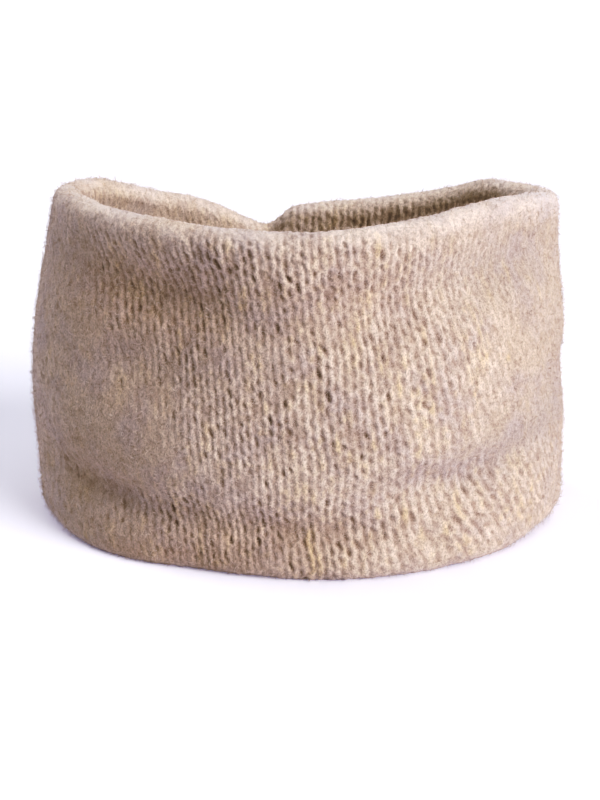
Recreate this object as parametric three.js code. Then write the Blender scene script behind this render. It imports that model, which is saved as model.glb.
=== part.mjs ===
// Ear warmer headband: one wide tube of felted stockinette, folded double, that stands on its lower edge.
// Millimetres, +Z up. The front faces -Y, and the origin is on the floor, below the middle of the band.

import * as THREE from "three";

// Driving dimensions
const HALF_WIDTH = 90.2; // from the middle to the middle of the wall, at either end
const FRONT_DEPTH = 68.5; // the same towards the front
const BACK_DEPTH = 47; // the same towards the back
const HEIGHT = 116; // floor to top rim, before each section's own share
const WALL_THICKNESS = 8; // both layers of knit, half way up
const RIM_THICKNESS = 10.5; // the soft roll of the fold along the top and the bottom
const ROLL_SHARPNESS = 3; // how close to the rolls the wall keeps its own thickness
const FOOT_SQUASH = 0.8; // how far the lower roll flattens under the band's own weight
const DENT_DEPTH = 5.5; // a soft dent of depth 1
const SEAM_BEARING = 98; // degrees from +X, seen from above, counterclockwise: 90 is the back
const SEAM_GROOVE = 1.6; // how far the seam draws each face in
const SEAM_GROOVE_REACH = 5;
const PUCKER_DEPTH = 1.5; // the gathers that fan out from the seam
const PUCKER_REACH = 34;
const PUCKER_FOLDS = 3;

// Colour and surface of the felted wool
const WOOL_COLOUR = 0xbca497;
const WOOL_ROUGHNESS = 0.95;

// Fineness of the mesh
const STATIONS = 104; // sections round the band
const WALL_STEPS = 14; // up each face
const ROLL_STEPS = 8; // over each roll
const SEAM_CROWDING = 0.5; // how much closer the sections stand at the seam: 0 is evenly, below 1

// One row for each section that gives the band its outline. reach is a share of the plan's oval, and
// top, foot, lean and belly are shares of HEIGHT: lean is how far the top tips inwards from the foot,
// and belly how far the wall swells outwards between them.
const SECTIONS = [
  { bearing: 0, reach: 1.0, top: 0.996, foot: 0.006, lean: 0.05, belly: 0.025 },
  { bearing: 25, reach: 1.0, top: 0.987, foot: 0, lean: 0.06, belly: 0.03 },
  { bearing: 38, reach: 1.0, top: 0.983, foot: 0, lean: 0.055, belly: 0.025 },
  { bearing: 50, reach: 1.0, top: 0.945, foot: 0, lean: 0.05, belly: 0.02 },
  { bearing: 70, reach: 1.0, top: 0.893, foot: 0.03, lean: 0.04, belly: 0.02 },
  { bearing: 83, reach: 0.985, top: 0.87, foot: 0.1, lean: 0.02, belly: 0.02 },
  { bearing: 92, reach: 0.99, top: 0.848, foot: 0.17, lean: 0.01, belly: 0.01 },
  { bearing: 98, reach: 1.01, top: 0.79, foot: 0.24, lean: 0, belly: 0 },
  { bearing: 104, reach: 0.99, top: 0.82, foot: 0.17, lean: 0.01, belly: 0.01 },
  { bearing: 113, reach: 0.985, top: 0.878, foot: 0.1, lean: 0.02, belly: 0.02 },
  { bearing: 126, reach: 1.0, top: 0.925, foot: 0.03, lean: 0.04, belly: 0.02 },
  { bearing: 150, reach: 1.0, top: 0.995, foot: 0, lean: 0.065, belly: 0.04 },
  { bearing: 180, reach: 1.0, top: 1.01, foot: 0, lean: 0.075, belly: 0.055 },
  { bearing: 200, reach: 1.0, top: 1.025, foot: 0.015, lean: 0.08, belly: 0.05 },
  { bearing: 220, reach: 1.0, top: 1.02, foot: 0, lean: 0.08, belly: 0.04 },
  { bearing: 245, reach: 1.0, top: 1.015, foot: 0, lean: 0.065, belly: 0.03 },
  { bearing: 270, reach: 1.0, top: 1.008, foot: 0, lean: 0.05, belly: 0.02 },
  { bearing: 295, reach: 1.0, top: 1.02, foot: 0, lean: 0.08, belly: 0.025 },
  { bearing: 318, reach: 0.995, top: 1.035, foot: 0.004, lean: 0.105, belly: 0.04 },
  { bearing: 338, reach: 0.99, top: 1.026, foot: 0.014, lean: 0.085, belly: 0.035 },
];

// One row for each soft dent. spread is in degrees to either side of bearing, level and breadth are
// shares of the wall's height, rise is how much level climbs over one spread, and depth is a share of
// DENT_DEPTH. A dent of negative depth swells outwards.
const DENTS = [
  { bearing: 237, level: 0.83, spread: 26, breadth: 0.11, rise: -0.035, depth: 1.5 },
  { bearing: 250, level: 0.62, spread: 28, breadth: 0.18, rise: 0, depth: 0.6 },
  { bearing: 221, level: 0.185, spread: 20, breadth: 0.08, rise: -0.02, depth: 0.8 },
  { bearing: 231, level: 0.61, spread: 17, breadth: 0.14, rise: 0.01, depth: 0.8 },
  { bearing: 249, level: -0.02, spread: 19, breadth: 0.1, rise: 0, depth: 0.7 },
  { bearing: 260, level: 0.13, spread: 28, breadth: 0.075, rise: -0.015, depth: 1 },
  { bearing: 290, level: 0.82, spread: 20, breadth: 0.13, rise: 0, depth: 1 },
  { bearing: 306, level: 0.25, spread: 22, breadth: 0.08, rise: 0.02, depth: 1 },
  { bearing: 318, level: 0.85, spread: 22, breadth: 0.1, rise: 0.03, depth: 0.9 },
  { bearing: 292, level: 0.36, spread: 22, breadth: 0.12, rise: 0, depth: -0.4 },
  { bearing: 349, level: 0.46, spread: 13, breadth: 0.09, rise: 0, depth: 0.5 },
  { bearing: 346, level: 0.86, spread: 13, breadth: 0.09, rise: 0, depth: 0.35 },
  { bearing: 46, level: 0.4, spread: 22, breadth: 0.16, rise: 0.08, depth: 0.3 },
  { bearing: 148, level: 0.45, spread: 20, breadth: 0.16, rise: -0.08, depth: 0.3 },
];

const FULL_TURN = 360;
const radians = THREE.MathUtils.degToRad;

// Shortest way from one bearing to another, -180 to 180 degrees
function turnBetween(from, to) {
  return THREE.MathUtils.euclideanModulo(to - from + FULL_TURN / 2, FULL_TURN) - FULL_TURN / 2;
}

// A row of SECTIONS by number, going round the band past either end of the table
function sectionRow(number) {
  const row = SECTIONS[THREE.MathUtils.euclideanModulo(number, SECTIONS.length)];
  const turns = Math.floor(number / SECTIONS.length);
  return { ...row, bearing: row.bearing + turns * FULL_TURN };
}

// A column of SECTIONS at any bearing: a smooth closed curve through the rows
function sectionValue(column, bearing) {
  const turned = THREE.MathUtils.euclideanModulo(bearing, FULL_TURN);
  const next = SECTIONS.findIndex((row) => row.bearing > turned);
  const k = (next < 0 ? SECTIONS.length : next) - 1;
  const [before, start, end, after] = [k - 1, k, k + 1, k + 2].map(sectionRow);
  const span = end.bearing - start.bearing;
  const startSlope = (end[column] - before[column]) / (end.bearing - before.bearing);
  const endSlope = (after[column] - start[column]) / (after.bearing - start.bearing);
  const t = (turned - start.bearing) / span;
  return (
    (2 * t ** 3 - 3 * t ** 2 + 1) * start[column] +
    (t ** 3 - 2 * t ** 2 + t) * span * startSlope +
    (3 * t ** 2 - 2 * t ** 3) * end[column] +
    (t ** 3 - t ** 2) * span * endSlope
  );
}

// Middle of the wall at the foot, seen from above
function planPoint(bearing) {
  const angle = radians(bearing);
  const depth = Math.sin(angle) > 0 ? BACK_DEPTH : FRONT_DEPTH;
  const oval = new THREE.Vector2(HALF_WIDTH * Math.cos(angle), depth * Math.sin(angle));
  return oval.multiplyScalar(sectionValue("reach", bearing));
}

// Level direction that points out of the band there
function planOutward(bearing) {
  const step = 0.5;
  const along = planPoint(bearing + step).sub(planPoint(bearing - step));
  return new THREE.Vector2(along.y, -along.x).normalize();
}

// Distance from the seam round the band
function seamDistance(bearing) {
  return HALF_WIDTH * radians(Math.abs(turnBetween(SEAM_BEARING, bearing)));
}

// Inward dents at a bearing and a level between the middles of the two rolls, 0 to 1
function dentDepth(bearing, level) {
  return DENTS.reduce((depth, dent) => {
    const side = turnBetween(dent.bearing, bearing) / dent.spread;
    const up = (level - dent.level - dent.rise * side) / dent.breadth;
    return depth + DENT_DEPTH * dent.depth * Math.exp(-(side ** 2) - up ** 2);
  }, 0);
}

// How far the middle of the wall stands out from the plan's line at a level
function wallOffset(bearing, level) {
  const lean = HEIGHT * sectionValue("lean", bearing) * level;
  const belly = HEIGHT * sectionValue("belly", bearing) * Math.sin(Math.PI * level);
  const gather = Math.exp(-((seamDistance(bearing) / PUCKER_REACH) ** 2));
  const pucker = PUCKER_DEPTH * gather * Math.sin(2 * Math.PI * PUCKER_FOLDS * level);
  return belly - lean + pucker - dentDepth(bearing, level);
}

// Half the wall's thickness: full at the rolls, thinner half way up, drawn in along the seam
function halfThickness(bearing, level) {
  const towardsRoll = Math.abs(2 * level - 1) ** ROLL_SHARPNESS;
  const whole = THREE.MathUtils.lerp(WALL_THICKNESS, RIM_THICKNESS, towardsRoll) / 2;
  return whole - SEAM_GROOVE * Math.exp(-((seamDistance(bearing) / SEAM_GROOVE_REACH) ** 2));
}

// One closed section: up the outer face, over the top roll, down the inner face, under the bottom roll
function sectionPoints(bearing) {
  const topRoll = halfThickness(bearing, 1);
  const bottomRoll = halfThickness(bearing, 0);
  const topMiddle = HEIGHT * sectionValue("top", bearing) - topRoll;
  const bottomMiddle = HEIGHT * sectionValue("foot", bearing) + bottomRoll - FOOT_SQUASH;
  const points = [];
  const add = (offset, height) => points.push(new THREE.Vector2(offset, Math.max(height, 0)));
  const addWall = (level, side) => {
    const offset = wallOffset(bearing, level) + side * halfThickness(bearing, level);
    add(offset, THREE.MathUtils.lerp(bottomMiddle, topMiddle, level));
  };
  const addRoll = (level, middle, radius, startAngle) => {
    for (let step = 0; step < ROLL_STEPS; step += 1) {
      const angle = startAngle + (Math.PI * step) / ROLL_STEPS;
      add(wallOffset(bearing, level) + radius * Math.cos(angle), middle + radius * Math.sin(angle));
    }
  };
  for (let step = 0; step < WALL_STEPS; step += 1) addWall(step / WALL_STEPS, 1);
  addRoll(1, topMiddle, topRoll, 0);
  for (let step = WALL_STEPS; step > 0; step -= 1) addWall(step / WALL_STEPS, -1);
  addRoll(0, bottomMiddle, bottomRoll, Math.PI);
  return points;
}

// Bearing of a station: the stations crowd together towards the seam
function stationBearing(station) {
  const even = (FULL_TURN * station) / STATIONS;
  const crowded = even - THREE.MathUtils.radToDeg(SEAM_CROWDING * Math.sin(radians(even)));
  return SEAM_BEARING + crowded;
}

// The band's skin: every section joined to the next one, all the way round
function bandGeometry() {
  const vertices = [];
  const faces = [];
  const sectionLength = 2 * (WALL_STEPS + ROLL_STEPS);
  for (let station = 0; station < STATIONS; station += 1) {
    const bearing = stationBearing(station);
    const middle = planPoint(bearing);
    const outward = planOutward(bearing);
    for (const { x: offset, y: height } of sectionPoints(bearing)) {
      vertices.push(middle.x + outward.x * offset, middle.y + outward.y * offset, height);
    }
    const here = station * sectionLength;
    const ahead = ((station + 1) % STATIONS) * sectionLength;
    for (let corner = 0; corner < sectionLength; corner += 1) {
      const above = (corner + 1) % sectionLength;
      faces.push(here + corner, ahead + corner, ahead + above);
      faces.push(here + corner, ahead + above, here + above);
    }
  }
  const geometry = new THREE.BufferGeometry();
  geometry.setAttribute("position", new THREE.Float32BufferAttribute(vertices, 3));
  geometry.setIndex(faces);
  geometry.computeVertexNormals();
  return geometry;
}

// Moves the band over so that its middle, seen from above, is at the origin
function centred(geometry) {
  geometry.computeBoundingBox();
  const middle = geometry.boundingBox.getCenter(new THREE.Vector3());
  return geometry.translate(-middle.x, -middle.y, 0);
}

const wool = new THREE.MeshStandardMaterial({
  color: WOOL_COLOUR,
  roughness: WOOL_ROUGHNESS,
  metalness: 0,
});

const band = new THREE.Mesh(centred(bandGeometry()), wool);
band.name = "band";

const headband = new THREE.Group();
headband.add(band);

export default headband;
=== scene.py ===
# %% [markdown]
# # A felted knit ear warmer headband
# The real thing is one piece of chunky stockinette in oatmeal wool, washed until it felts, folded double so
# that its top and bottom edges are soft rolls, and gathered into one short seam at the back. It stands on
# its lower edge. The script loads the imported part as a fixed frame, works out the same form again with a
# far finer mesh, and knits the stitches into that mesh. Everything is in metres, in the part's own frame.

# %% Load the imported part
import math

import bpy
import numpy as np
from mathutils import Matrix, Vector


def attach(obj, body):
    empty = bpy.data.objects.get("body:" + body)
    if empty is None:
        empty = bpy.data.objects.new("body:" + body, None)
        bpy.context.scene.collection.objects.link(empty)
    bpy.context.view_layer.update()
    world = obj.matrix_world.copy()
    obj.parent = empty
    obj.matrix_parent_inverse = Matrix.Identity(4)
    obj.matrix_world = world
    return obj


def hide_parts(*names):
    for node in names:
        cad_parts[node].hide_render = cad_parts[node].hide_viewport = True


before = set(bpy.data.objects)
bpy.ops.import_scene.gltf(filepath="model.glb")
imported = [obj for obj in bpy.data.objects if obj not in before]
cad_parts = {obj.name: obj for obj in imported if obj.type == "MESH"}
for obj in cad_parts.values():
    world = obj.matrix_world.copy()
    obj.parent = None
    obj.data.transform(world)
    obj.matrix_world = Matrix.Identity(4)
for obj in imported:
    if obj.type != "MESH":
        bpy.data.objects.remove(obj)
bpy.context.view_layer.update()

MM = 0.001

# %% [markdown]
# ## The camera
# A product photo is taken from a little above, with a long lens, so that the rims read as ovals. The camera
# could be placed by eye, but its distance, height, tilt and lens were fitted to the outline instead, so the
# band's corners land where they do in the photo. Nothing is out of focus there, so the lens has no depth of
# field.

# %% Set up the camera
PHOTO_WIDTH_PX, PHOTO_HEIGHT_PX = 600, 800
CAMERA_DISTANCE, CAMERA_HEIGHT = 0.555, 0.250
CAMERA_TILT_DOWN = 20.6
FOCAL_LENGTH_PX = 1655
SENSOR_MM = 36.0


def add_camera():
    """The photo's view. The sensor's width lies along the picture's long side."""
    data = bpy.data.cameras.new("camera")
    data.sensor_width = SENSOR_MM
    data.lens = FOCAL_LENGTH_PX / max(PHOTO_WIDTH_PX, PHOTO_HEIGHT_PX) * SENSOR_MM
    data.dof.use_dof = False
    camera = bpy.data.objects.new("camera", data)
    camera.location = (0, -CAMERA_DISTANCE, CAMERA_HEIGHT)
    camera.rotation_euler = (math.radians(90 - CAMERA_TILT_DOWN), 0, 0)
    bpy.context.collection.objects.link(camera)
    bpy.context.scene.camera = camera
    return camera


print("camera with a lens of", round(add_camera().data.lens, 1), "mm")

# %% [markdown]
# ## The band's form
# The band is an oval ring of doubled knit. Its wall leans in towards the top, swells a little half way up,
# and is gathered to half its height at the seam. A cloth simulation would give some plausible ring, but not
# this one, so the form comes from formulas: a table of sections round the oval, a table of soft dents, and
# the gathers. They are the same formulas and shares as the part's own, so the knit lies exactly on its
# solid.

# %% Sizes of the band
HALF_WIDTH, FRONT_DEPTH, BACK_DEPTH = 90.2 * MM, 68.5 * MM, 47 * MM
HEIGHT = 116 * MM
WALL_THICKNESS, RIM_THICKNESS, ROLL_SHARPNESS = 8 * MM, 10.5 * MM, 3
FOOT_SQUASH = 0.8 * MM
DENT_DEPTH = 5.5 * MM
SEAM_BEARING = 98
SEAM_GROOVE, SEAM_GROOVE_REACH = 1.6 * MM, 5 * MM
PUCKER_DEPTH, PUCKER_REACH, PUCKER_FOLDS = 1.5 * MM, 34 * MM, 3
FULL_TURN, SLOPE_STEP = 360, 0.5
HALF_WAY = 0.5
TINY = 1e-12

# Bearings are degrees round the band, and the rest are shares of its size there.
SECTION_COLUMNS = ("bearing", "reach", "top", "foot", "lean", "belly")
SECTIONS = np.array([
    (0, 1.0, 0.996, 0.006, 0.05, 0.025),
    (25, 1.0, 0.987, 0, 0.06, 0.03),
    (38, 1.0, 0.983, 0, 0.055, 0.025),
    (50, 1.0, 0.945, 0, 0.05, 0.02),
    (70, 1.0, 0.893, 0.03, 0.04, 0.02),
    (83, 0.985, 0.87, 0.1, 0.02, 0.02),
    (92, 0.99, 0.848, 0.17, 0.01, 0.01),
    (98, 1.01, 0.79, 0.24, 0, 0),
    (104, 0.99, 0.82, 0.17, 0.01, 0.01),
    (113, 0.985, 0.878, 0.1, 0.02, 0.02),
    (126, 1.0, 0.925, 0.03, 0.04, 0.02),
    (150, 1.0, 0.995, 0, 0.065, 0.04),
    (180, 1.0, 1.01, 0, 0.075, 0.055),
    (200, 1.0, 1.025, 0.015, 0.08, 0.05),
    (220, 1.0, 1.02, 0, 0.08, 0.04),
    (245, 1.0, 1.015, 0, 0.065, 0.03),
    (270, 1.0, 1.008, 0, 0.05, 0.02),
    (295, 1.0, 1.02, 0, 0.08, 0.025),
    (318, 0.995, 1.035, 0.004, 0.105, 0.04),
    (338, 0.99, 1.026, 0.014, 0.085, 0.035),
])

# Bearing, level, spread in degrees, breadth and rise as shares of the height, share of the dents' depth.
DENTS = [
    (237, 0.83, 26, 0.11, -0.035, 1.5),
    (250, 0.62, 28, 0.18, 0, 0.6),
    (221, 0.185, 20, 0.08, -0.02, 0.8),
    (231, 0.61, 17, 0.14, 0.01, 0.8),
    (249, -0.02, 19, 0.1, 0, 0.7),
    (260, 0.13, 28, 0.075, -0.015, 1.0),
    (290, 0.82, 20, 0.13, 0, 1.0),
    (306, 0.25, 22, 0.08, 0.02, 1.0),
    (318, 0.85, 22, 0.1, 0.03, 0.9),
    (292, 0.36, 22, 0.12, 0, -0.4),
    (349, 0.46, 13, 0.09, 0, 0.5),
    (346, 0.86, 13, 0.09, 0, 0.35),
    (46, 0.4, 22, 0.16, 0.08, 0.3),
    (148, 0.45, 20, 0.16, -0.08, 0.3),
]


# %% The outline and the wall at any bearing
def closed_curve(bearings, values, at):
    """A smooth closed curve through values at bearings, read at any bearings: a cubic between each two."""
    x = np.concatenate([bearings[-2:] - FULL_TURN, bearings, bearings[:2] + FULL_TURN])
    y = np.concatenate([values[-2:], values, values[:2]])
    slope = np.zeros_like(y)
    slope[1:-1] = (y[2:] - y[:-2]) / (x[2:] - x[:-2])
    turned = np.mod(at, FULL_TURN)
    k = np.searchsorted(x, turned, side="right") - 1
    span = x[k + 1] - x[k]
    t = (turned - x[k]) / span
    return (
        (2 * t**3 - 3 * t**2 + 1) * y[k]
        + (t**3 - 2 * t**2 + t) * span * slope[k]
        + (3 * t**2 - 2 * t**3) * y[k + 1]
        + (t**3 - t**2) * span * slope[k + 1]
    )


def section_value(column, bearing):
    """A column of SECTIONS at any bearings."""
    return closed_curve(SECTIONS[:, 0], SECTIONS[:, SECTION_COLUMNS.index(column)], bearing)


def turn_between(start, end):
    """Shortest way from one bearing to another, -180 to 180 degrees."""
    return np.mod(end - start + FULL_TURN / 2, FULL_TURN) - FULL_TURN / 2


def plan_point(bearing):
    """Middle of the wall at the foot, seen from above."""
    angle = np.radians(bearing)
    depth = np.where(np.sin(angle) > 0, BACK_DEPTH, FRONT_DEPTH)
    oval = np.stack([HALF_WIDTH * np.cos(angle), depth * np.sin(angle)], -1)
    return oval * section_value("reach", bearing)[..., None]


def unit(vectors):
    """The same vectors at length 1."""
    return vectors / np.maximum(np.linalg.norm(vectors, axis=-1, keepdims=True), TINY)


def plan_outward(bearing):
    """Level direction that points out of the band there."""
    along = plan_point(bearing + SLOPE_STEP) - plan_point(bearing - SLOPE_STEP)
    return unit(np.stack([along[..., 1], -along[..., 0]], -1))


def seam_distance(bearing):
    """Distance from the seam round the band."""
    return HALF_WIDTH * np.radians(np.abs(turn_between(SEAM_BEARING, bearing)))


def wall_offset(bearing, level):
    """How far the middle of the wall stands out from the plan's line, at a level from 0 to 1."""
    lean = HEIGHT * section_value("lean", bearing) * level
    belly = HEIGHT * section_value("belly", bearing) * np.sin(np.pi * level)
    gather = np.exp(-((seam_distance(bearing) / PUCKER_REACH) ** 2))
    pucker = PUCKER_DEPTH * gather * np.sin(2 * np.pi * PUCKER_FOLDS * level)
    dents = 0
    for middle, height, spread, breadth, rise, depth in DENTS:
        side = turn_between(middle, bearing) / spread
        up = (level - height - rise * side) / breadth
        dents = dents + DENT_DEPTH * depth * np.exp(-(side**2) - up**2)
    return belly - lean + pucker - dents


def half_thickness(bearing, level):
    """Half the wall: full at the rolls, thinner half way up, drawn in along the seam."""
    whole = WALL_THICKNESS + (RIM_THICKNESS - WALL_THICKNESS) * np.abs(2 * level - 1) ** ROLL_SHARPNESS
    return whole / 2 - SEAM_GROOVE * np.exp(-((seam_distance(bearing) / SEAM_GROOVE_REACH) ** 2))


print("sections:", len(SECTIONS), "dents:", len(DENTS))

# %% [markdown]
# ## Stitches and mesh
# In stockinette each stitch is a V of two yarn legs. A column of stitches is a wale and a row is a course.
# Counted in the photo, a wale is 6 mm wide and a course 4.3 mm high: 84 wales go round the band and 57
# courses go up the outside, over the top, down the inside and back under. The mesh follows them, with a few
# vertices to each leg: fine enough for every leg and every gap between legs to be real relief, and below
# the limit on triangles.

# %% Number the wales and courses, and place the mesh rows on them
WALES = 84
COLUMNS_PER_WALE = 10
ROLL_COURSES = 4
WALL_COURSES = 24.5
COURSES = round(2 * (WALL_COURSES + ROLL_COURSES))
OUTER_ROWS, ROLL_ROWS, INNER_ROWS = 172, 28, 98
OUTSIDE, INSIDE = 1, -1

COLUMNS = WALES * COLUMNS_PER_WALE
DENSE_BEARINGS = 20 * FULL_TURN + 1


def evenly_spaced_bearings(count):
    """Bearings that start at the seam and divide the band's length into equal steps."""
    dense = SEAM_BEARING + np.linspace(0, FULL_TURN, DENSE_BEARINGS)
    line = plan_point(dense) + plan_outward(dense) * wall_offset(dense, HALF_WAY)[:, None]
    steps = np.linalg.norm(np.diff(line, axis=0), axis=1)
    length = np.concatenate([[0], np.cumsum(steps)])
    print("round the middle of the wall, mm:", round(length[-1] / MM, 1))
    return np.interp(np.arange(count) / count * length[-1], length, dense)


def section_rows():
    """For each mesh row: its side (0 on the rolls), the level, the roll's angle and the course number."""
    rows = []
    for share in np.arange(OUTER_ROWS) / OUTER_ROWS:
        rows.append((OUTSIDE, share, 0, WALL_COURSES * share))
    for share in np.arange(ROLL_ROWS) / ROLL_ROWS:
        rows.append((0, 1, math.pi * share, WALL_COURSES + ROLL_COURSES * share))
    for share in np.arange(INNER_ROWS) / INNER_ROWS:
        rows.append((INSIDE, 1 - share, 0, WALL_COURSES * (1 + share) + ROLL_COURSES))
    for share in np.arange(ROLL_ROWS) / ROLL_ROWS:
        rows.append((0, 0, math.pi * (1 + share), 2 * WALL_COURSES + ROLL_COURSES * (1 + share)))
    return (np.array(column, float) for column in zip(*rows))


BEARING = evenly_spaced_bearings(COLUMNS)[:, None]
SIDE, LEVEL, ROLL_ANGLE, COURSE = (column[None, :] for column in section_rows())
print("mesh:", COLUMNS, "columns and", SIDE.size, "rows;", COURSES, "courses")


# %% Work out the smooth form on that mesh
def smooth_band():
    """Points of the band's form, one for each column and row."""
    radius = half_thickness(BEARING, LEVEL)
    low = HEIGHT * section_value("foot", BEARING) + half_thickness(BEARING, 0) - FOOT_SQUASH
    high = HEIGHT * section_value("top", BEARING) - half_thickness(BEARING, 1)
    on_roll = SIDE == 0
    across = np.where(on_roll, np.cos(ROLL_ANGLE), SIDE)
    up = np.where(on_roll, np.sin(ROLL_ANGLE), 0)
    offset = wall_offset(BEARING, LEVEL) + radius * across
    height = np.maximum(low + (high - low) * LEVEL + radius * up, 0)
    level_point = plan_point(BEARING) + plan_outward(BEARING) * offset[..., None]
    return np.concatenate([level_point, height[..., None]], -1)


def grid_normals(points):
    """Unit normals of a grid that closes on itself both ways, pointing out of the wool."""
    around = np.roll(points, -1, 0) - np.roll(points, 1, 0)
    up = np.roll(points, -1, 1) - np.roll(points, 1, 1)
    return unit(np.cross(around, up))


FORM = smooth_band()
FORM_MIDDLE = (FORM.max((0, 1)) + FORM.min((0, 1))) / 2
FORM -= FORM_MIDDLE * (1, 1, 0)
FORM_NORMAL = grid_normals(FORM)
print("form, mm:", (np.ptp(FORM.reshape(-1, 3), axis=0) / MM).round(1))

# %% [markdown]
# ## The stitches
# The two legs of a stitch rise side by side, close at the bottom and wider apart at the top, where the next
# stitch grows out from between them. So the legs make bright, nearly upright ridges that sway a little, and
# small gaps open in the fork of each stitch and between the feet of neighbours: the dark pits in the photo,
# staggered like bricks. An image could fake this, but here the ridges and gaps are in the mesh. Each stitch
# has wandered a little from its place, and tables say how far the wales lean and how open the gaps are.

# %% Lean the wales and count them across the mesh
WALE_WIDTH = 6.1 * MM
# Bearing, and the wales' lean at the foot and at the top there.
LEAN_AT = np.array([
    (0, 0.13, 0.13),
    (45, 0.04, 0.04),
    (98, 0, 0),
    (150, 0, 0),
    (190, 0.04, 0.1),
    (215, 0.06, 0.24),
    (240, 0.1, 0.24),
    (265, 0.06, 0.14),
    (290, 0.12, 0.1),
    (312, 0.36, 0.1),
    (338, 0.5, 0.1),
])
# The patches' numbers are a seed, how many go round the band, and how many up and down its wall.
PATCH_DEVIATION = 0.5
WALE_WANDER, WALE_PATCHES = 0.2, (1, 22, 14)
COURSE_WANDER, COURSE_PATCHES = 0.35, (2, 24, 16)
STITCH_ASIDE, ASIDE_PATCHES = 0.1, (11, 2 * WALES, 2 * COURSES)
STITCH_UP, UP_PATCHES = 0.2, (13, 2 * WALES, 2 * COURSES)


def patches(seed, around, up):
    """Soft random patches over the mesh, about -1 to 1: so many round the band and round its wall."""
    cells = np.random.default_rng(seed).normal(0, PATCH_DEVIATION, (around, up))
    x, y = np.arange(COLUMNS) / COLUMNS * around, COURSE[0] / COURSES * up
    i, j = x.astype(int), y.astype(int)
    across, along = ((t * t * (3 - 2 * t)) for t in (x - i, y - j))
    left = cells[i % around][:, j % up] * (1 - along) + cells[i % around][:, (j + 1) % up] * along
    right_cells = cells[(i + 1) % around]
    right = right_cells[:, j % up] * (1 - along) + right_cells[:, (j + 1) % up] * along
    return left * (1 - across[:, None]) + right * across[:, None]


def wale_numbers():
    """The wale that each vertex is on, counted from the seam. On the front they lean right going down."""
    straight = np.arange(COLUMNS)[:, None] / COLUMNS_PER_WALE
    at_foot, at_top = (closed_curve(LEAN_AT[:, 0], leans, BEARING) for leans in LEAN_AT.T[1:])
    drift = at_foot * (1 - LEVEL) + (at_top - at_foot) * (1 - LEVEL**2) / 2
    return straight - drift * HEIGHT / WALE_WIDTH


WALE = wale_numbers() + WALE_WANDER * patches(*WALE_PATCHES) + STITCH_ASIDE * patches(*ASIDE_PATCHES)
COURSE_HERE = COURSE + COURSE_WANDER * patches(*COURSE_PATCHES) + STITCH_UP * patches(*UP_PATCHES)
print("wales lean by up to", LEAN_AT[:, 1:].max(), "of their height")

# %% Raise the legs
# Shares of a wale's width across, and of a course's height upwards.
LEG_MIDDLE, LEG_SWAY, LEG_HALF_WIDTH = 0.25, 0.055, 0.25
FORK_AT, RETURN = 0.9, 0.3
LEG_UNEVENNESS, LEG_PATCHES = 0.65, (6, 2 * WALES, COURSES)


def leg_ridges():
    """Height of the legs at each vertex, 0 in the furrows and about 1 on the crests."""
    from_middle = np.abs(np.mod(WALE, 1) - HALF_WAY)
    climb = np.mod(COURSE_HERE - FORK_AT, 1)
    sway = LEG_SWAY * np.interp(climb, (0, RETURN, 1), (1, -1, 1))
    distance = np.clip((from_middle - LEG_MIDDLE - sway) / LEG_HALF_WIDTH, -1, 1)
    return np.cos(distance * np.pi / 2) * (1 + LEG_UNEVENNESS * patches(*LEG_PATCHES))


RIDGE = leg_ridges()
print("legs:", 2 * WALES * COURSES, "mean height", RIDGE.mean().round(2))

# %% Open the gaps
# Shares of a wale's width across, and of a course's height upwards.
PIT_HALF_WIDTH, PIT_HALF_HEIGHT = 0.105, 0.38
PIT_SIDEWAYS, PIT_UPWARDS = 0.045, 0.16
PIT_SLANT = 0.2
PIT_OPENNESS, PIT_OPENNESS_SPREAD, PIT_OPENNESS_MOST = 0.45, 0.45, 1.2
FORK_SEED, NEIGHBOUR_SEED = 7, 8
# Bearing, and how open the gaps are there.
PITS_AT = np.array([(0, 0.7), (40, 0.8), (98, 0.9), (180, 0.8), (225, 1.15),
                    (240, 1.1), (262, 1.1), (282, 0.9), (300, 0.6), (330, 0.4)])


def along_band(table):
    """A table of bearings and values, read round the whole band."""
    return closed_curve(table[:, 0], table[:, 1], BEARING)


def gaps(seed, wale_shift, course_shift):
    """One gap to each stitch, 0 where closed and about 1 where open. A few have stayed far more open."""
    generator = np.random.default_rng(seed)
    sideways = generator.normal(0, PIT_SIDEWAYS, (WALES, COURSES))
    upwards = generator.normal(0, PIT_UPWARDS, (WALES, COURSES))
    openness = generator.lognormal(math.log(PIT_OPENNESS), PIT_OPENNESS_SPREAD, (WALES, COURSES))
    openness = np.minimum(openness, PIT_OPENNESS_MOST)
    u, v = WALE - wale_shift, COURSE_HERE - course_shift
    i, j = np.rint(u).astype(int), np.rint(v).astype(int)
    cell = (i % WALES, j % COURSES)
    along = (v - j - upwards[cell]) / PIT_HALF_HEIGHT
    across = (u - i - sideways[cell] + PIT_SLANT * (v - j)) / PIT_HALF_WIDTH
    return openness[cell] * np.exp(-(across**2) - along**2)


GAPS = gaps(FORK_SEED, HALF_WAY, FORK_AT) + gaps(NEIGHBOUR_SEED, 0, FORK_AT - HALF_WAY)
GAPS = GAPS * along_band(PITS_AT)
print("gaps:", 2 * WALES * COURSES, "deepest", GAPS.max().round(2))

# %% [markdown]
# ## Felting
# Washing has felted some places more than others. In the middle of the front the stitches stand out, and
# towards both ends and along the crest of the rolls they sink into a smooth, hairy skin. This could be
# painted on the mesh by hand, but tables can be read and changed. Two of them give how much of the stitch
# shows at each bearing in the photo, outside and inside, and a third how felted the crest is. A list adds
# soft spots on either side, and soft random patches keep it all from looking ruled.

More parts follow.
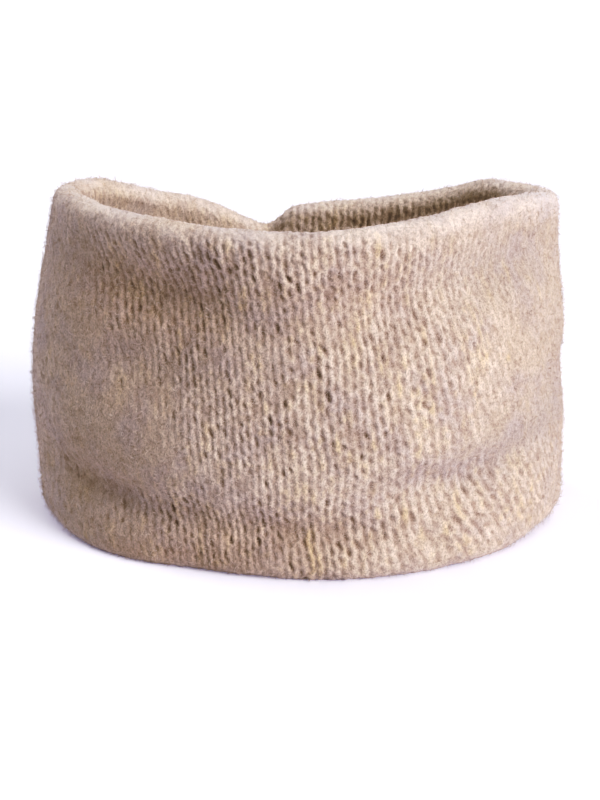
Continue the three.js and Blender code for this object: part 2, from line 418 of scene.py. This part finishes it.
# %% Say where the stitches show
# Bearing, and how much of the stitch shows there, or how felted the crest is.
DEFINITION_OUTSIDE = np.array([(0, 0.3), (40, 0.7), (70, 0.85), (98, 0.8), (125, 0.6), (150, 0.4),
                               (180, 0.22), (205, 0.2), (216, 0.28), (230, 0.5), (245, 0.85),
                               (262, 1.0), (295, 1.0), (310, 0.8), (322, 0.5), (340, 0.3)])
DEFINITION_INSIDE = np.array([(0, 0.5), (40, 0.95), (85, 1.0), (98, 0.8), (110, 0.5), (140, 0.4),
                              (160, 0.45), (180, 0.4), (220, 0.6), (270, 0.7), (330, 0.6)])
CREST_FELTING = np.array([(0, 0.95), (40, 0.9), (65, 0.5), (98, 0.3), (125, 0.6),
                          (150, 0.85), (215, 0.85), (240, 0.7), (300, 0.65), (325, 0.85)])
CREST_RUN_OUT, CREST_AT_EDGE = 0.025, 0.35
BROAD_FELTING, BROAD_PATCHES = 0.3, (3, 16, 10)
FINE_FELTING, FINE_PATCHES = 0.25, (4, 44, 28)
LEAST_SHOWN, MOST_SHOWN = 0.08, 1.2

# Side, bearing, level, spread in degrees, breadth as a share of the height, and the change.
SPOTS = [
    (OUTSIDE, 222, 0.35, 14, 0.2, -0.45),
    (OUTSIDE, 236, 0.95, 24, 0.07, 0.65),
    (OUTSIDE, 228, 0.8, 13, 0.1, 0.45),
    (OUTSIDE, 240, 0.28, 20, 0.06, -0.4),
    (OUTSIDE, 230, 0.1, 17, 0.1, 0.5),
    (OUTSIDE, 217, 0.24, 12, 0.07, 0.4),
    (OUTSIDE, 276, 0.27, 12, 0.05, -0.35),
    (OUTSIDE, 316, 0.38, 14, 0.07, -0.35),
    (OUTSIDE, 330, 0.34, 14, 0.07, -0.4),
    (OUTSIDE, 326, 0.12, 22, 0.12, 0.8),
    (OUTSIDE, 272, 0.95, 30, 0.06, 0.5),
    (INSIDE, 165, 0.9, 14, 0.12, 1.0),
]


def crest_of_rolls():
    """1 along the top and bottom edges of the band, falling to 0 on its walls."""
    on_roll = np.abs(np.sin(ROLL_ANGLE))
    from_edge = np.minimum(LEVEL, 1 - LEVEL) / CREST_RUN_OUT
    rolls = CREST_AT_EDGE + (1 - CREST_AT_EDGE) * on_roll
    return np.where(SIDE == 0, rolls, CREST_AT_EDGE * np.exp(-from_edge))


def add_spots(faces, spots):
    """Adds soft spots to a value on each face, and blends the two over the rolls."""
    faces = dict(faces)
    for side, middle, height, spread, breadth, change in spots:
        along, up = turn_between(middle, BEARING) / spread, (LEVEL - height) / breadth
        faces[side] = faces[side] + change * np.exp(-(along**2) - up**2)
    turned_in = (1 - np.where(SIDE == 0, np.cos(ROLL_ANGLE), SIDE)) / 2
    return faces[OUTSIDE] * (1 - turned_in) + faces[INSIDE] * turned_in


def stitch_definition():
    """How much of the stitch shows, 0 to 1, at each vertex."""
    faces = {OUTSIDE: along_band(DEFINITION_OUTSIDE), INSIDE: along_band(DEFINITION_INSIDE)}
    shown = add_spots(faces, SPOTS) * (1 - along_band(CREST_FELTING) * CREST)
    uneven = shown + BROAD_FELTING * patches(*BROAD_PATCHES) + FINE_FELTING * patches(*FINE_PATCHES)
    return np.clip(uneven, LEAST_SHOWN, MOST_SHOWN)


CREST = crest_of_rolls()
DEFINITION = stitch_definition()
print("definition from", DEFINITION.min().round(2), "to", DEFINITION.max().round(2))

# %% [markdown]
# ## Uneven colour, painted shade and painted light
# The yarn isn't one even colour, and felting has made the crest of the upper roll paler. Shade and light
# are painted into the colour as well: warm brown painted shade in the hollows on the left and cool grey
# painted shade in those on the right, a painted highlight along the upper roll's crest, and a wide patch
# of painted light inside, where the wall stands in shade. An image laid over the band could hold all
# this, but it would have to be drawn and kept with the scene. Spots say where instead, in the same way
# as for the stitches.

# %% Say where shade and light are painted: warm and cool shade, a highlight, and light inside
# The last number of a spot is above 0 where the painted shade is warm brown, and below 0 where it is cool
# grey.
PAINTED_SHADE_SPOTS = [
    (OUTSIDE, 233, 0.83, 26, 0.13, 1.1),
    (OUTSIDE, 238, 0.62, 20, 0.2, 0.4),
    (OUTSIDE, 219, 0.22, 22, 0.13, 0.6),
    (OUTSIDE, 260, 0.1, 28, 0.08, 0.6),
    (OUTSIDE, 241, -0.02, 26, 0.07, 1.2),
    (OUTSIDE, 285, 0.85, 20, 0.1, 0.4),
    (OUTSIDE, 314, 0.27, 26, 0.08, -1.0),
    (OUTSIDE, 338, 0.36, 18, 0.08, -0.8),
    (OUTSIDE, 322, 0.84, 24, 0.09, -0.9),
    (INSIDE, 165, 0.9, 14, 0.15, 0.9),
]
# Painted highlight on the crest of the upper roll, near the right end.
PAINTED_HIGHLIGHT_SPOTS = [
    (OUTSIDE, 350, 1.0, 30, 0.05, 0.5),
    (INSIDE, 350, 1.0, 30, 0.05, 0.5),
]
# Painted light: a wide patch on the inside, where the wall stands in shade, is painted paler.
PAINTED_LIGHT_SPOTS = [(INSIDE, 52, 0.8, 38, 0.5, 1.0)]
NO_CHANGE = {OUTSIDE: 0, INSIDE: 0}
CREST_PALENESS, PALE_UNEVENNESS, PALE_PATCHES = 0.8, 0.5, (10, 60, 30)

# Painted shade in the hollows: above 0 warm brown, below 0 cool grey.
PAINTED_SHADE_TONE = add_spots(NO_CHANGE, PAINTED_SHADE_SPOTS)
# Pale crest on the upper roll alone: partly paler felted fibre, partly a painted highlight where light
# falls from above.
PALE_CREST_AND_HIGHLIGHT = CREST * (LEVEL > HALF_WAY) * (CREST_PALENESS + PALE_UNEVENNESS * patches(*PALE_PATCHES))
PALE_CREST_AND_HIGHLIGHT = PALE_CREST_AND_HIGHLIGHT + add_spots(NO_CHANGE, PAINTED_HIGHLIGHT_SPOTS)
PAINTED_LIGHT_INSIDE = add_spots(NO_CHANGE, PAINTED_LIGHT_SPOTS)
print("warmth from", PAINTED_SHADE_TONE.min().round(2), "to", PAINTED_SHADE_TONE.max().round(2))

# %% Move the mesh
RIDGE_DEPTH, GAP_DEPTH = 0.36 * MM, 0.5 * MM
LUMP_DEPTH, LUMP_PATCHES = 0.35 * MM, (5, 60, 36)
FIBRE_DEPTH, FIBRE_NOISE_SEED = 0.17 * MM, 84
LEG_TINT, LEG_TINT_PATCHES = 0.6, (9, 2 * WALES, COURSES // 2)
TUFT_TINT, TUFT_TINT_PATCHES = 0.5, (12, 3 * WALES, 2 * COURSES)
TINT_WHERE_FELTED = 0.3

fibre_noise = np.random.default_rng(FIBRE_NOISE_SEED).normal(0, 1, RIDGE.shape)
fibre_noise = (fibre_noise + np.roll(fibre_noise, 1, 0) + np.roll(fibre_noise, 1, 1)) / 3
lift = (
    RIDGE_DEPTH * DEFINITION * (RIDGE - RIDGE.mean())
    - GAP_DEPTH * DEFINITION * GAPS
    + LUMP_DEPTH * patches(*LUMP_PATCHES)
    + FIBRE_DEPTH * fibre_noise
)
KNIT = FORM + FORM_NORMAL * lift[..., None]
KNIT[..., 2] = np.maximum(KNIT[..., 2], 0)
KNIT_NORMAL = grid_normals(KNIT)
print("knit stands", (lift.min() / MM).round(2), "to", (lift.max() / MM).round(2), "mm from the form")

# %% [markdown]
# ## The knit as pieces
# The band is one piece of cloth, but a mesh of half a million triangles is easier to handle in quarters.
# They meet along furrows of the knit, and each gets its normals from the whole band, so that no line shows
# where they join. What the finish has to know goes with the vertices: how deep in a gap or a furrow a point
# is, which sets the painted shade there, how felted it is, its leg's own tint, where the crest is pale with
# a painted highlight, where shade is painted warm or cool, and where light is painted on a patch inside.

# %% Work out what the finish has to know
CRESTS, SHOWN = np.clip(RIDGE, 0, 1), np.clip(DEFINITION, 0, 1)
TINT = (LEG_TINT * patches(*LEG_TINT_PATCHES) + TUFT_TINT * patches(*TUFT_TINT_PATCHES)) * CRESTS
LOOKS = {
    "gap": GAPS * DEFINITION,
    "furrow": (1 - CRESTS) * DEFINITION,
    "tint": TINT * (TINT_WHERE_FELTED + (1 - TINT_WHERE_FELTED) * SHOWN),
    # Felted places: greyer wool, darkened further as painted shade of their own fuzz.
    "felted_and_shaded": (1 - SHOWN) * (1 - CREST),
    "pale": PALE_CREST_AND_HIGHLIGHT,
    "painted_shade_tone": PAINTED_SHADE_TONE,
    "painted_light_patch": PAINTED_LIGHT_INSIDE,
}
print("values for each vertex:", ", ".join(LOOKS))


# %% Helpers for meshes
def mesh_of(name, points, faces):
    """A mesh of these points and faces, which all have the same number of corners."""
    mesh = bpy.data.meshes.new(name)
    mesh.vertices.add(len(points))
    mesh.vertices.foreach_set("co", points.ravel().astype(np.float32))
    mesh.loops.add(faces.size)
    mesh.loops.foreach_set("vertex_index", faces.ravel().astype(np.int32))
    mesh.polygons.add(len(faces))
    starts = np.arange(0, faces.size, faces.shape[1], dtype=np.int32)
    mesh.polygons.foreach_set("loop_start", starts)
    mesh.update(calc_edges=True)
    return mesh


def set_look(mesh, name, values):
    """Gives each vertex a value that a material can read by its name."""
    layer = mesh.attributes.new(name, "FLOAT", "POINT")
    layer.data.foreach_set("value", values.ravel().astype(np.float32))


def wool_piece(mesh):
    """Puts a mesh of wool in the scene, on the band's one body."""
    piece = bpy.data.objects.new(mesh.name, mesh)
    bpy.context.collection.objects.link(piece)
    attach(piece, "root")
    return piece


# %% Build the four quarters
QUARTERS = ("knit_back_left", "knit_front_left", "knit_front_right", "knit_back_right")


def quarter_mesh(name, columns):
    """A mesh of these columns of the band, with all its rows, closed round the section."""
    rows = COURSE.size
    corner = np.arange(len(columns) * rows).reshape(len(columns), rows)
    above = np.roll(corner, -1, 1)
    quads = np.stack([corner[:-1], corner[1:], above[1:], above[:-1]], -1).reshape(-1, 4)
    mesh = mesh_of(name, KNIT[columns].reshape(-1, 3), quads)
    mesh.validate()
    mesh.polygons.foreach_set("use_smooth", np.ones(len(quads), bool))
    mesh.normals_split_custom_set_from_vertices(KNIT_NORMAL[columns].reshape(-1, 3))
    for look, values in LOOKS.items():
        set_look(mesh, look, values[columns])
    return mesh


def knit_quarters():
    """The whole band in four pieces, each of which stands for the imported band."""
    made = []
    for number, name in enumerate(QUARTERS):
        start, end = (COLUMNS * step // len(QUARTERS) for step in (number, number + 1))
        piece = wool_piece(quarter_mesh(name, np.arange(start, end + 1) % COLUMNS))
        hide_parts("band")
        made.append(piece)
    return made


KNIT_PIECES = knit_quarters()
print("triangles in the knit:", sum(2 * len(piece.data.polygons) for piece in KNIT_PIECES))

# %% [markdown]
# ## Loose fibres
# Felted wool wears a haze of loose fibres, a few millimetres long. They soften the edge of the stitches and
# make the pale fringe along the rims. Hair would be the usual way, but it isn't a mesh and wouldn't leave
# with the model, so each fibre is a bent strip of three triangles, and strips are many and thin enough to
# read as fluff.

# %% Grow the fibres
FIBRES_PER_PIECE = 46000
FIBRE_PIECES = ("fleece_a", "fleece_b", "fleece_c")
FIBRE_LENGTH = (1.1 * MM, 4.0 * MM)
# About three times as wide as a real fibre, which would be too fine to show.
FIBRE_WIDTH = 0.09 * MM
FIBRE_ROOT_DEPTH = 0.25 * MM
# The steepest lift, a power that keeps most lifts low, the turn half way in radians, and the tip's lift.
FIBRE_MOST_LIFT, LIFT_POWER = math.radians(70), 2
FIBRE_BEND, TIP_LIFT = 0.8, 0.3
FIBRE_SEED = 100
INSIDE_SHARE = 0.55
CORNERS_PER_FIBRE = 5
FIBRE_TRIANGLES = ((0, 1, 3), (0, 3, 2), (2, 3, 4))


def fibre_roots(generator, count):
    """Random places on the knit, evenly over its area, with fewer inside: points, normals and tangents."""
    around = np.roll(KNIT, -1, 0) - KNIT
    up = np.roll(KNIT, -1, 1) - KNIT
    area = np.linalg.norm(np.cross(around, up), axis=-1) * np.where(SIDE < 0, INSIDE_SHARE, 1)
    edge = np.cumsum(area.ravel())
    chosen = np.searchsorted(edge, generator.random(count) * edge[-1])
    i, j = np.unravel_index(chosen, area.shape)
    point = KNIT[i, j] + around[i, j] * generator.random((count, 1))
    point = point + up[i, j] * generator.random((count, 1))
    return point, FORM_NORMAL[i, j], up[i, j]


def fibre_points(generator, count):
    """The corners of bent strips, which leave the wool at a low angle and bend back over it."""
    root, normal, up = fibre_roots(generator, count)
    up = unit(up - normal * (up * normal).sum(1, keepdims=True))
    side = np.cross(normal, up)
    heading = generator.random((count, 1)) * 2 * np.pi
    lift = FIBRE_MOST_LIFT * generator.random((count, 1)) ** LIFT_POWER
    length = generator.uniform(*FIBRE_LENGTH, (count, 1))
    turned = heading + generator.normal(0, FIBRE_BEND, (count, 1))
    first = (up * np.cos(heading) + side * np.sin(heading)) * np.cos(lift) + normal * np.sin(lift)
    lower = lift * TIP_LIFT
    second = (up * np.cos(turned) + side * np.sin(turned)) * np.cos(lower) + normal * np.sin(lower)
    start = root - normal * FIBRE_ROOT_DEPTH
    middle = start + first * length / 2
    tip = middle + second * length / 2
    width = unit(np.cross(first, unit(generator.normal(0, 1, (count, 3))))) * FIBRE_WIDTH / 2
    points = np.stack([start - width, start + width, middle - width, middle + width, tip], 1)
    points[..., 2] = np.maximum(points[..., 2], 0)
    return points.reshape(-1, 3)


def fleece_mesh(name, seed):
    """One mesh of loose fibres, each with its own tone."""
    generator = np.random.default_rng(seed)
    points = fibre_points(generator, FIBRES_PER_PIECE)
    base = (np.arange(FIBRES_PER_PIECE) * CORNERS_PER_FIBRE)[:, None, None]
    mesh = mesh_of(name, points, (base + np.array(FIBRE_TRIANGLES)).reshape(-1, 3))
    set_look(mesh, "tone", np.repeat(generator.random(FIBRES_PER_PIECE), CORNERS_PER_FIBRE))
    return mesh


FLEECE_PIECES = [
    wool_piece(fleece_mesh(name, FIBRE_SEED + number)) for number, name in enumerate(FIBRE_PIECES)]
print("fibres:", FIBRES_PER_PIECE * len(FLEECE_PIECES))

# %% [markdown]
# ## Materials
# The wool is a marl: oatmeal, with some fibres yellower and some greyer. Felted wool is quite matt, and its
# fine fibres catch the light along every edge, which the shader calls sheen. Its colours are picked as sRGB
# hex values and turned to the linear values that the shader works in.

# %% Helpers for materials
def linear(hex_colour):
    """An sRGB hex colour as linear red, green, blue and alpha, by the numbers of the sRGB standard."""
    channels = [int(hex_colour[start:start + 2], 16) / 255 for start in (1, 3, 5)]
    return [c / 12.92 if c <= 0.04045 else ((c + 0.055) / 1.055) ** 2.4 for c in channels] + [1]


def add_node(tree, kind, inputs=None, **settings):
    """Adds a node with its settings. inputs gives each socket a value, or another node's socket to link."""
    node = tree.nodes.new(kind)
    for name, value in settings.items():
        setattr(node, name, value)
    for socket, value in (inputs or {}).items():
        if isinstance(value, bpy.types.NodeSocket):
            tree.links.new(value, node.inputs[socket])
        else:
            node.inputs[socket].default_value = value
    return node


def new_material(name):
    """An empty node material, its tree and its output."""
    material = bpy.data.materials.new(name)
    material.use_nodes = True
    material.node_tree.nodes.clear()
    return material, material.node_tree, add_node(material.node_tree, "ShaderNodeOutputMaterial")


# The colour sockets of a mix node, by their numbers, because its sockets share their names.
MIX_A, MIX_B, MIX_RESULT = 6, 7, 2
print("a mid grey of #808080 in linear light:", round(linear("#808080")[0], 3))

# %% [markdown]
# ### Felted stockinette wool
# The colour is worked out from large to small: felted places, greyer and darkened by painted shade, patches
# of greyer wool about 14 mm across, a mottling of about 3 mm, a patch of painted light inside, warm and
# cool painted shade in the hollows, each leg's own tint, flecks of fibre, the pale crest with its painted
# highlight, and last the painted shade down in the furrows and gaps, where the wool is darker and almost no
# light gets out again. The bump is fibre too. A real fibre is 0.03 mm wide and wouldn't show, so the flecks
# are drawn as tufts, half a millimetre wide and a little higher.

# %% The wool of the knit
# The pale wool is the crest's felted fibre with a painted highlight on it.
OATMEAL, GREY_WOOL, OCHRE_WOOL, PALE_HIGHLIGHT_WOOL = "#E4D6C9", "#C6B9B7", "#E2CDA6", "#E2DBDC"
# Painted shade, warm brown and cool grey, for the hollows, and painted light for a shaded patch inside.
WARM_PAINTED_SHADE, COOL_PAINTED_SHADE, PAINTED_LIGHT_WOOL = "#B59780", "#B4ABAB", "#F2E2CF"
# Felted wool is greyer, and darker still as painted shade of its own fuzz.
FELTED_SHADED_WOOL = "#CCBCAC"
# Painted shade down in the furrows and gaps between the legs; the furrow colour also serves the mottling.
FLECK_WOOL, MOTTLE_AND_FURROW_SHADE, GAP_SHADE = "#908074", "#9E887A", "#664C3C"
SHEEN = "#F4ECF2"
PATCH_SIZE, MOTTLE_SIZE, FLECK_SIZE, FLECK_LENGTH = 14 * MM, 3 * MM, 0.55 * MM, 0.7 * MM
FLECK_BUMP = 0.3 * MM


def wool_material():
    """Felted stockinette: matt marled wool with a fibre sheen."""
    material, tree, output = new_material("wool_felted_stockinette")
    place = add_node(tree, "ShaderNodeTexCoord").outputs["Object"]
    drawn = add_node(tree, "ShaderNodeMapping", {
        "Vector": place, "Scale": (1 / FLECK_SIZE, 1 / FLECK_SIZE, 1 / FLECK_LENGTH)}).outputs[0]
    patch = add_node(tree, "ShaderNodeTexNoise", {
        "Vector": place, "Scale": 1 / PATCH_SIZE, "Detail": 3}).outputs[0]
    mottle = add_node(tree, "ShaderNodeTexNoise", {
        "Vector": place, "Scale": 1 / MOTTLE_SIZE, "Detail": 2}).outputs[0]
    fleck = add_node(tree, "ShaderNodeTexNoise", {
        "Vector": drawn, "Scale": 1, "Detail": 3, "Roughness": 0.65}).outputs[0]
    felted_and_shaded, painted_light_patch, painted_shade_tone, tint, pale, furrow, gap = (
        add_node(tree, "ShaderNodeAttribute", attribute_name=name).outputs["Fac"]
        for name in ("felted_and_shaded", "painted_light_patch", "painted_shade_tone", "tint", "pale", "furrow", "gap"))
    # Each layer: its colour, what says where, its values for none and for all of it, and its strength.
    layers = (
        # Felted places: greyer wool and painted shade of their fuzz.
        (FELTED_SHADED_WOOL, felted_and_shaded, 0.1, 0.8, 0.8),
        (GREY_WOOL, patch, 0.45, 0.65, 0.55),
        (MOTTLE_AND_FURROW_SHADE, mottle, 0.45, 0.8, 0.45),
        # Painted light on a shaded patch inside.
        (PAINTED_LIGHT_WOOL, painted_light_patch, 0, 1, 0.9),
        # Painted shade in the hollows, warm brown on the left and cool grey on the right.
        (WARM_PAINTED_SHADE, painted_shade_tone, 0, 1, 0.4),
        (COOL_PAINTED_SHADE, painted_shade_tone, 0, -1, 0.4),
        (OCHRE_WOOL, tint, 0, 0.7, 0.5),
        (FLECK_WOOL, fleck, 0.56, 0.3, 0.6),
        # Pale crest: felted fibre and a painted highlight.
        (PALE_HIGHLIGHT_WOOL, pale, 0.2, 2, 0.9),
        # Painted shade in the furrows and gaps.
        (MOTTLE_AND_FURROW_SHADE, furrow, 0.1, 1, 0.46),
        (GAP_SHADE, gap, 0.1, 1.2, 0.7),
    )
    colour = linear(OATMEAL)
    for hex_colour, source, none, full, strength in layers:
        share = add_node(tree, "ShaderNodeMapRange", {
            "Value": source, "From Min": none, "From Max": full, "To Max": strength}).outputs[0]
        colour = add_node(tree, "ShaderNodeMix", {0: share, MIX_A: colour, MIX_B: linear(hex_colour)},
                          data_type="RGBA").outputs[MIX_RESULT]
    bump = add_node(tree, "ShaderNodeBump", {
        "Height": fleck, "Strength": 0.5, "Distance": FLECK_BUMP}).outputs[0]
    wool = add_node(tree, "ShaderNodeBsdfPrincipled", {
        "Base Color": colour, "Normal": bump, "Roughness": 0.95, "IOR": 1.45, "Specular IOR Level": 0.2,
        "Sheen Weight": 0.5, "Sheen Roughness": 0.45, "Sheen Tint": linear(SHEEN)})
    tree.links.new(wool.outputs[0], output.inputs[0])
    return material


WOOL = wool_material()
for piece in KNIT_PIECES:
    piece.data.materials.append(WOOL)
print("material", WOOL.name, "on", len(KNIT_PIECES), "pieces")

# %% [markdown]
# ### Loose wool fibre
# A single fibre is a clear, scaly hair. It looks paler than the yarn it came out of, and light passes
# through it. A shader that lets light through would be truer and slower, and at this size a matt one
# looks the same, in a pale colour that differs a little from fibre to fibre.

# %% The loose fibres' wool
FIBRE_PALE, FIBRE_TAN = "#E0D6CE", "#C4AF9F"


def fibre_material():
    """Loose wool fibres, pale and matt."""
    material, tree, output = new_material("wool_loose_fibre")
    tone = add_node(tree, "ShaderNodeAttribute", attribute_name="tone").outputs["Fac"]
    colour = add_node(tree, "ShaderNodeMix", {0: tone, MIX_A: linear(FIBRE_PALE), MIX_B: linear(FIBRE_TAN)},
                      data_type="RGBA").outputs[MIX_RESULT]
    hair = add_node(tree, "ShaderNodeBsdfPrincipled", {
        "Base Color": colour, "Roughness": 0.8, "IOR": 1.55, "Specular IOR Level": 0.2})
    tree.links.new(hair.outputs[0], output.inputs[0])
    return material


FIBRE = fibre_material()
for piece in FLEECE_PIECES:
    piece.data.materials.append(FIBRE)
print("material", FIBRE.name, "on", len(FLEECE_PIECES), "pieces")

# %% [markdown]
# ## Floor and light
# The photo is a product shot on white, bright at the right and in soft shade at the left. One big soft
# light stands at the front right, another right overhead, and a weaker one behind at the left lights the
# inside and the left rim. They could be lamps close by, but lamps as far away as the sun light the floor
# evenly, and their wide angle keeps the shadows soft. The floor also glows faintly, so that it prints as
# plain white and its shadow as a pale lavender, without more light on the wool.

# %% Floor, lights and sky
# In metres, and so wide that its far edge is out of every view.
FLOOR_SIZE = 60
FLOOR_WHITE, FLOOR_GLOW, GLOW_STRENGTH = "#E7E7ED", "#E9E5FF", 0.19
SKY_WHITE, SKY_STRENGTH = "#F4F4F4", 0.02
# Each lamp: its bearing and height in degrees, its strength, and its width in degrees.
LAMPS = {
    "key_front_right": (-38, 28, 3.0, 40),
    "overhead": (0, 88, 1.5, 60),
    "back_left": (150, 28, 1.3, 40),
}


def add_floor():
    """A plain pale floor that reaches past every view."""
    bpy.ops.mesh.primitive_plane_add(size=FLOOR_SIZE)
    floor = bpy.context.object
    floor.name = "floor"
    material, tree, output = new_material("floor_matt_white")
    paint = add_node(tree, "ShaderNodeBsdfPrincipled", {
        "Base Color": linear(FLOOR_WHITE), "Roughness": 0.9, "Specular IOR Level": 0.1,
        "Emission Color": linear(FLOOR_GLOW), "Emission Strength": GLOW_STRENGTH})
    tree.links.new(paint.outputs[0], output.inputs[0])
    floor.data.materials.append(material)


def add_lamp(name, bearing, elevation, strength, spread):
    """A soft, white and distant lamp, placed by its bearing round the band and its height."""
    data = bpy.data.lights.new(name, "SUN")
    data.energy, data.angle = strength, math.radians(spread)
    lamp = bpy.data.objects.new(name, data)
    turn, rise = math.radians(bearing), math.radians(elevation)
    towards = Vector((math.cos(turn) * math.cos(rise), math.sin(turn) * math.cos(rise), math.sin(rise)))
    lamp.rotation_euler = towards.to_track_quat("Z", "Y").to_euler()
    bpy.context.collection.objects.link(lamp)


def add_sky():
    """The white room round the band."""
    world = bpy.data.worlds.new("white_room")
    world.use_nodes = True
    background = world.node_tree.nodes["Background"]
    background.inputs["Color"].default_value = linear(SKY_WHITE)
    background.inputs["Strength"].default_value = SKY_STRENGTH
    bpy.context.scene.world = world


add_floor()
for lamp_name, setting in LAMPS.items():
    add_lamp(lamp_name, *setting)
add_sky()
print("lamps:", ", ".join(LAMPS))

# %% [markdown]
# ### Print
# Product photos are printed with more contrast than the eye sees: whites stay, shades go deeper and
# richer. That is why the photo's shaded side is so brown, beside a right side that is nearly neutral. A
# picture can be graded like this afterwards, but here the print comes with the scene. A little exposure
# lifts the floor to the paper's white, a curve for all colours deepens the shades, and one each for green
# and blue makes them browner.

# %% Print with deeper shades
# The numbers of the curves for green, for blue and for all colours.
GREEN, BLUE, ALL = 1, 2, 3
EXPOSURE = 0.08
# Each point of a curve: linear light in, linear light out.
PRINT_CURVES = {
    ALL: ((0.159, 0.055), (0.317, 0.17), (0.476, 0.35), (0.634, 0.56), (0.793, 0.75)),
    GREEN: ((0.08, 0.075), (0.2, 0.194), (0.38, 0.382)),
    BLUE: ((0.08, 0.062), (0.17, 0.142), (0.32, 0.328), (0.6, 0.615)),
}


def set_print(curves):
    """Standard colours, with curves over them that turn linear light to linear print."""
    view = bpy.context.scene.view_settings
    view.view_transform = "Standard"
    view.exposure = EXPOSURE
    view.use_curve_mapping = True
    for channel, points in curves.items():
        for light, printed in points:
            view.curve_mapping.curves[channel].points.new(light, printed)
    view.curve_mapping.update()


set_print(PRINT_CURVES)
print("print curves:", len(PRINT_CURVES))
